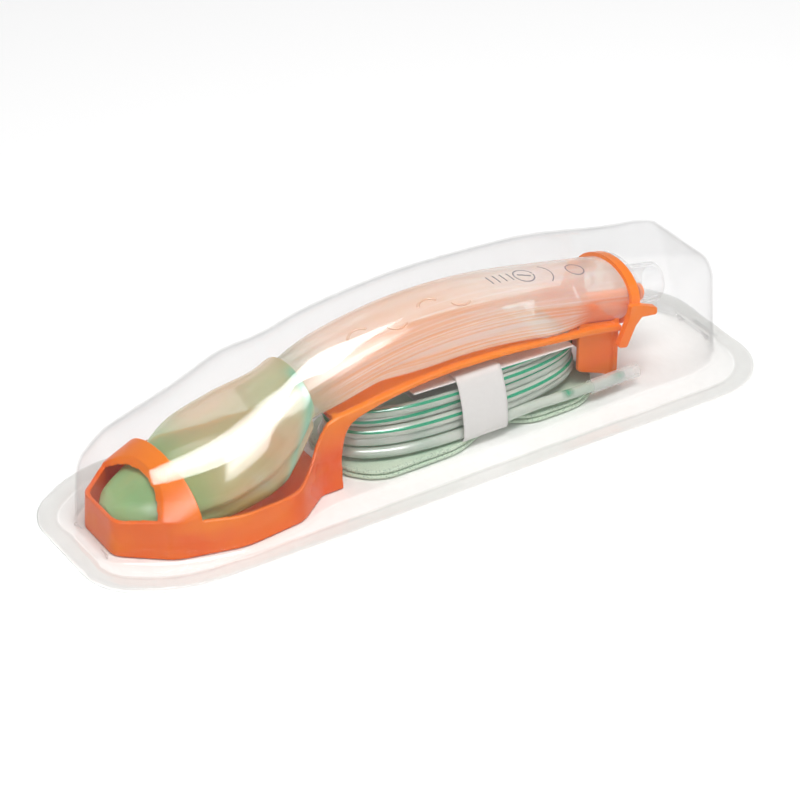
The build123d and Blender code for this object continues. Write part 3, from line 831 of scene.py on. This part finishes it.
def coil_spot(turn, share):
    """A point of the winding: turn counts up from the bottom, share goes once round from the near side."""
    rise = (turn + share) * COIL_TURN_RISE
    inner = COIL_LAYER_SHIFT * (1 - math.cos(math.pi * (turn + share)))
    inset = rise * COIL_TAPER + inner
    angle = -2 * math.pi * share - math.pi / 2
    wide, high = math.cos(angle), math.sin(angle)
    reach = COIL_HALF_LENGTH - inset if wide < 0 else COIL_TAIL_LENGTH - COIL_TAIL_TAPER * inset
    x = COIL_MIDDLE_X + reach * math.copysign(abs(wide) ** 0.9, wide)
    pinch = 1 - COIL_PINCH * hump(x, BAND_MIDDLE_X, 16.0)
    y = (COIL_HALF_WIDTH - inset) * pinch * math.copysign(abs(high) ** 0.8, high)
    slope = 1 - COIL_TAIL_FALL * max(0.0, x)
    return Vector((x, y, COIL_FIRST_Z + rise * slope))


def tube_route():
    """The winding, from its hidden inner end at the top of the coil down to the lowest turn."""
    chance = random.Random(7)
    route = []
    total = COIL_TURNS * COIL_STEPS
    for number in range(total):
        back = (total - number) / COIL_STEPS
        turn = math.floor(back - 1e-9)
        spot = coil_spot(turn, back - turn)
        spot += Vector((*(chance.uniform(-reach, reach) for reach in COIL_WANDER), 0.0))
        route.append(spot)
    return route


def nurbs_line(name, route):
    """A smooth spline with the route's points as its control points."""
    curve = bpy.data.curves.new(name, "CURVE")
    curve.dimensions = "3D"
    spline = curve.splines.new("NURBS")
    spline.points.add(len(route) - 1)
    for point, place in zip(spline.points, route):
        point.co = (*(Vector(place) * MM), 1.0)
    spline.order_u = 3
    spline.use_endpoint_u = True
    curve.resolution_u = 6
    return bpy.data.objects.new(name, curve)


def spline_points(line):
    mesh = bpy.data.meshes.new_from_object(line)
    places = [vertex.co / MM for vertex in mesh.vertices]
    bpy.data.meshes.remove(mesh)
    bpy.data.objects.remove(line)
    return places


def turn_direction(spot):
    """Level direction out from the coil's middle line at a point."""
    spine_x = min(max(spot.x, COIL_MIDDLE_X - 28.0), COIL_MIDDLE_X + 28.0)
    out = Vector((spot.x - spine_x, spot.y, 0.0))
    return out.normalized() if out.length > 0.5 else Vector((0, -1, 0))


FREE_END_LENGTH = 60.0
LUMEN_SHARE = 0.6
# Where the stripe lies round the tube, at even steps from the free end to the inner end.
STRIPE_ANGLES = [-62.0, -80.0, -50.0, 34.0, 58.0, 12.0, 46.0, 24.0]


def suction_tube():
    """The wound tube with its printed stripe, from its inner end to the free end in the sleeve."""
    route = tube_route() + [Vector(place) for place in TUBE_UNDER_BAND + TUBE_END_ROUTE]
    line = spline_points(nurbs_line("tube_line", route))
    size, lumen_size = 20, 10
    points, around, mark = [], [], []
    passed, length = 0.0, sum((b - a).length for a, b in zip(line, line[1:]))
    rings = []
    for index, spot in enumerate(line):
        along = (line[min(index + 1, len(line) - 1)] - line[max(index - 1, 0)]).normalized()
        out = turn_direction(spot)
        out = (out - along * out.dot(along)).normalized()
        rings.append((spot, out, out.cross(along).normalized()))
    for index, (spot, out, up) in enumerate(rings):
        up = -up if up.z < 0 else up
        passed += (spot - line[index - 1]).length if index else 0.0
        level = (length - passed) / length * (len(STRIPE_ANGLES) - 1)
        low = min(int(level), len(STRIPE_ANGLES) - 2)
        share = smooth_step(0.25, 0.75, level - low)
        stripe = STRIPE_ANGLES[low] + (STRIPE_ANGLES[low + 1] - STRIPE_ANGLES[low]) * share
        free = 1.0 if length - passed < FREE_END_LENGTH else 0.0
        for number in range(size):
            angle = 2 * math.pi * number / size
            points.append(spot + (out * math.cos(angle) + up * math.sin(angle)) * TUBE_RADIUS)
            around.append(abs((math.degrees(angle) - stripe + 180) % 360 - 180) / 180)
            blot = max(hump(spot.x, 58.0, 2.2), hump(spot.x, 82.0, 2.6)) * hump(math.sin(angle), 0.8, 0.7)
            mark.append(free * blot)
    faces = loft_faces(len(rings), size) + end_caps(len(rings), size)
    first = len(points)
    for spot, out, up in rings:
        for number in range(lumen_size):
            angle = 2 * math.pi * number / lumen_size
            points.append(spot + (out * math.cos(angle) + up * math.sin(angle)) * TUBE_RADIUS * LUMEN_SHARE)
            around.append(1.0)
            mark.append(0.0)
    faces += loft_faces(len(rings), lumen_size, first=first) + end_caps(len(rings), lumen_size, first)
    piece = make_piece("suction_tube", points, faces, tube_pvc(), "lid")
    add_number(piece, "around", around)
    add_number(piece, "mark", mark)
    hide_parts("suction_tube_coil", "suction_tube_end")
    path = [tuple(spot * MM) for spot in line]
    return piece, path, length * MM


STRAP_CORNERS = [
    (-36.0, -12.0, 11.0), (-27.0, -23.6, 17.0), (8.0, -23.6, 26.0), (30.0, -14.0, 10.0),
    (42.0, -21.8, 18.0), (68.0, -21.8, 20.0), (78.5, -9.0, 10.0),
]
STRAP_SPINE = (-24.0, 65.0)
# A layer's section at its edge, as (how far in, share of its thickness, 1 on the cut edge).
STRAP_EDGE = [
    (9.0, 0.0, 0), (2.6, 0.0, 0), (0.7, 0.02, 0), (0.15, 0.25, 1), (0.0, 0.5, 1), (0.15, 0.75, 1),
    (0.6, 0.95, 1), (1.3, 0.9, 1), (1.9, 1.0, 0), (5.0, 1.0, 0), (9.0, 1.0, 0),
]


def support_strap():
    """A folded strap under the coil: two soft layers with cut edges."""
    outline = spread_evenly(rounded_outline(STRAP_CORNERS, 1.0), 320)
    low, high = box_mm("support_strap")
    points, faces, edge = [], [], []
    middle = (low.z + high.z) / 2
    for layer, (bottom, top, inset) in enumerate(((low.z, middle - 0.05, 0.0), (middle + 0.05, high.z, 0.4))):
        first = len(points)
        for reach, rise, cut in STRAP_EDGE:
            for number, spot in enumerate(outline):
                before, after = outline[number - 1], outline[(number + 1) % len(outline)]
                along = (after - before).normalized()
                inward = Vector((-along.y, along.x))
                spine = Vector((min(max(spot.x, STRAP_SPINE[0]), STRAP_SPINE[1]), 0.0))
                place = spot + inward * (inset + reach)
                if reach >= 3:
                    place = spot.lerp(spine, min(0.9, reach / 14))
                swell = 0.12 * math.sin(place.x * 0.33 + layer) * math.cos(place.y * 0.29)
                swell *= min(reach / 3, 1)
                height = bottom + (top - bottom) * rise - (abs(swell) if rise > 0.5 else 0.0)
                points.append((place.x, place.y, height))
                edge.append(float(cut))
        faces += loft_faces(len(STRAP_EDGE), len(outline), first=first)
        faces += end_caps(len(STRAP_EDGE), len(outline), first)
    piece = make_piece("strap", points, faces, strap_foam(), "lid")
    add_number(piece, "cut_edge", edge)
    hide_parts("support_strap")


BAND_BASE_HALF_WIDTH = 23.05
BAND_BULGE = 0.3
BAND_THICKNESS = 0.22
BAND_SIDE_STEPS = 12


def paper_band():
    """Paper band round the coil and the sachet, creased where it turns under and over them."""
    low, high = box_mm("paper_band")
    width, stations, crease = high.x - low.x, 14, 1.3
    bottom, top = low.z + 0.15, high.z - 0.2
    points = []
    for station in range(stations + 1):
        x = low.x + width * station / stations
        off_middle = abs(station / stations - 0.5) * 2
        base = BAND_BASE_HALF_WIDTH + 0.1 * off_middle
        crown = base - (top - bottom) * COIL_TAPER
        side = []
        for number in range(BAND_SIDE_STEPS + 1):
            share = number / BAND_SIDE_STEPS
            bulge = BAND_BULGE * math.sin(math.pi * share)
            side.append((base + (crown - base) * share**2.2 + bulge, bottom + (top - bottom) * share))
        side[0] = (side[0][0] - crease * 0.3, bottom + 0.1)
        side[-1] = (side[-1][0] - crease * 0.3, top)
        loop = list(side)
        loop += [(y, top + 0.1 * math.cos(y * 0.2)) for y in (11.0, 5.5, 0.0, -5.5, -11.0)]
        loop += [(-y, z) for y, z in reversed(side)]
        loop += [(y, bottom) for y in (-14.0, -7.0, 0.0, 7.0, 14.0)]
        points += [(x, y, z) for y, z in loop]
    faces = loft_faces(stations + 1, len(loop))
    piece = make_piece("band", points, faces, band_paper(), "lid")
    modifier(piece, "SOLIDIFY", thickness=BAND_THICKNESS * MM, offset=-1.0)
    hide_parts("paper_band")
    return piece


# Upright thickness of the sloping slab that the sachet fills.
SACHET_SLAB = 1.85
SACHET_CRIMP = 4.0
SACHET_MIDDLE_DROP = 0.95
SACHET_SEAL_HALF = 0.12
SACHET_FILL_HALF = 0.62


def sachet():
    """Flat film sachet with crimped ends and a soft, slightly wrinkled middle."""
    low, high = box_mm("lubricant_sachet")
    length, width = high.x - low.x, high.y - low.y
    fall = (high.z - low.z - SACHET_SLAB) / length
    along_count, across_count = 90, 44
    points, crimp = [], []
    for side in (1, -1):
        for row in range(along_count + 1):
            for column in range(across_count + 1):
                u, v = row / along_count, column / across_count
                from_end = min(u, 1 - u) * length
                from_side = min(v, 1 - v) * width
                fill = smooth_step(SACHET_CRIMP, 12.0, from_end) * smooth_step(1.5, 7.0, from_side)
                wrinkle = math.sin(u * 31 + 2.5 * math.sin(v * 9)) * math.sin(v * 17 + u * 6) * 0.10 * fill
                x, y = low.x + u * length, low.y + v * width
                middle = high.z - SACHET_MIDDLE_DROP - fall * (x - low.x)
                half = SACHET_SEAL_HALF + SACHET_FILL_HALF * fill
                points.append((x, y, middle + side * half + wrinkle))
                crimp.append(1.0 if from_end < SACHET_CRIMP else 0.0)
    faces, size = [], across_count + 1
    other = (along_count + 1) * size
    for row in range(along_count):
        for column in range(across_count):
            a = row * size + column
            faces.append((a, a + 1, a + size + 1, a + size))
            faces.append((other + a, other + a + size, other + a + size + 1, other + a + 1))
    border = list(range(size)) + [row * size + size - 1 for row in range(1, along_count + 1)]
    border += [along_count * size + column for column in range(size - 2, -1, -1)]
    border += [row * size for row in range(along_count - 1, 0, -1)]
    for a, b in zip(border, border[1:] + border[:1]):
        faces.append((a, b, other + b, other + a))
    piece = make_piece("sachet", points, faces, sachet_film(), "lid")
    add_number(piece, "crimp", crimp)
    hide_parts("lubricant_sachet")


# ---- CAD nodes that show ----


def dress_node(name, material, softening_mm):
    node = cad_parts[name]
    node.data.materials.clear()
    node.data.materials.append(material)
    soften_edges(node, softening_mm)


CRADLE_VOXEL = 0.4


def cradle():
    """The cradle is one moulding, so its four CAD nodes are shown as one skin with softened edges."""
    names = ("cradle_cup", "toe_hoop", "cradle_rail", "rear_leg")
    shape = bmesh.new()
    for name in names:
        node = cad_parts[name]
        copy = node.data.copy()
        copy.transform(node.matrix_world)
        shape.from_mesh(copy)
        bpy.data.meshes.remove(copy)
    mesh = bpy.data.meshes.new("cradle")
    shape.to_mesh(mesh)
    shape.free()
    piece = bpy.data.objects.new("cradle", mesh)
    bpy.context.scene.collection.objects.link(piece)
    paint = orange_plastic("cradle_orange", rgb(244, 116, 2), rgb(234, 88, 0), rgb(255, 152, 20), 0.26)
    mesh.materials.clear()
    mesh.materials.append(paint)
    modifier(piece, "REMESH", mode="VOXEL", voxel_size=CRADLE_VOXEL * MM, use_smooth_shade=True)
    modifier(piece, "SMOOTH", factor=0.5, iterations=3)
    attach(piece, "cradle")
    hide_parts(*names)


def dress_nodes():
    ring = orange_plastic("ring_orange", rgb(255, 118, 2), rgb(248, 98, 0), rgb(255, 144, 24), 0.2)
    clear = clear_plastic("clear_plastic", rgb(226, 230, 232), 0.12)
    for name in ("hook_ring", "port_plug"):
        dress_node(name, ring, 0.25)
    for name in ("end_flange", "airway_connector"):
        dress_node(name, clear, 0.25)
    dress_node("tube_sleeve", clear_plastic("sleeve_clear", rgb(228, 236, 232), 0.22), 0.15)


# ---- studio ----

CAMERA_AZIMUTH = math.radians(-32.8)
CAMERA_ELEVATION = math.radians(33.4)
CAMERA_DISTANCE = 1.109
CAMERA_LENS = 134.3
CAMERA_SHIFT = (-0.0086, 0.0405)
FLOOR_SIZE = 6.0
FLOOR_DROP = 0.0001


def studio():
    below = (0, 0, -FLOOR_DROP)
    bpy.ops.mesh.primitive_grid_add(x_subdivisions=8, y_subdivisions=8, size=FLOOR_SIZE, location=below)
    floor = bpy.context.object
    floor.name = "studio_floor"
    floor.data.materials.append(floor_paint())
    world = bpy.data.worlds.new("studio_world")
    bpy.context.scene.world = world
    world.use_nodes = True
    background = next(node for node in world.node_tree.nodes if node.type == "BACKGROUND")
    background.inputs["Color"].default_value = (1.0, 1.0, 1.0, 1.0)
    background.inputs["Strength"].default_value = 0.5
    add_softbox("key_softbox", Vector((-0.06, -0.31, 0.94)), 1.3, (0.7, 0.42), 14.0)
    glare = add_softbox("glare_softbox", Vector((-0.10, -0.34, 0.93)), 1.25, (0.9, 1.0), 20.0)
    glare.visible_diffuse = False
    glare.visible_transmission = False
    scene = bpy.context.scene
    scene.view_settings.view_transform = "Standard"
    scene.cycles.transparent_max_bounces = 32


def add_softbox(name, direction, distance, size, radiance):
    """A rectangular light at a distance from the object, facing it, with a given brightness."""
    light = bpy.data.lights.new(name, "AREA")
    light.shape = "RECTANGLE"
    light.size, light.size_y = size
    light.energy = radiance * math.pi * size[0] * size[1]
    lamp = bpy.data.objects.new(name, light)
    lamp.location = direction.normalized() * distance
    lamp.rotation_mode = "QUATERNION"
    lamp.rotation_quaternion = direction.to_track_quat("Z", "Y")
    bpy.context.scene.collection.objects.link(lamp)
    return lamp


def add_camera():
    data = bpy.data.cameras.new("camera")
    data.sensor_width = 36.0
    data.lens = CAMERA_LENS
    data.shift_x, data.shift_y = CAMERA_SHIFT
    camera = bpy.data.objects.new("camera", data)
    level = math.cos(CAMERA_ELEVATION)
    side, ahead = math.sin(CAMERA_AZIMUTH) * level, -math.cos(CAMERA_AZIMUTH) * level
    back = Vector((side, ahead, math.sin(CAMERA_ELEVATION)))
    camera.location = back * CAMERA_DISTANCE
    camera.rotation_mode = "QUATERNION"
    camera.rotation_quaternion = back.to_track_quat("Z", "Y")
    bpy.context.scene.collection.objects.link(camera)
    bpy.context.scene.camera = camera


def main():
    studio()
    add_camera()
    tube, path, length = suction_tube()
    band = paper_band()
    cradle()
    dress_nodes()
    support_strap()
    sachet()
    blister()
    lid_sheet()
    airway_stem()
    stem_marks()
    gel_cuff()


main()
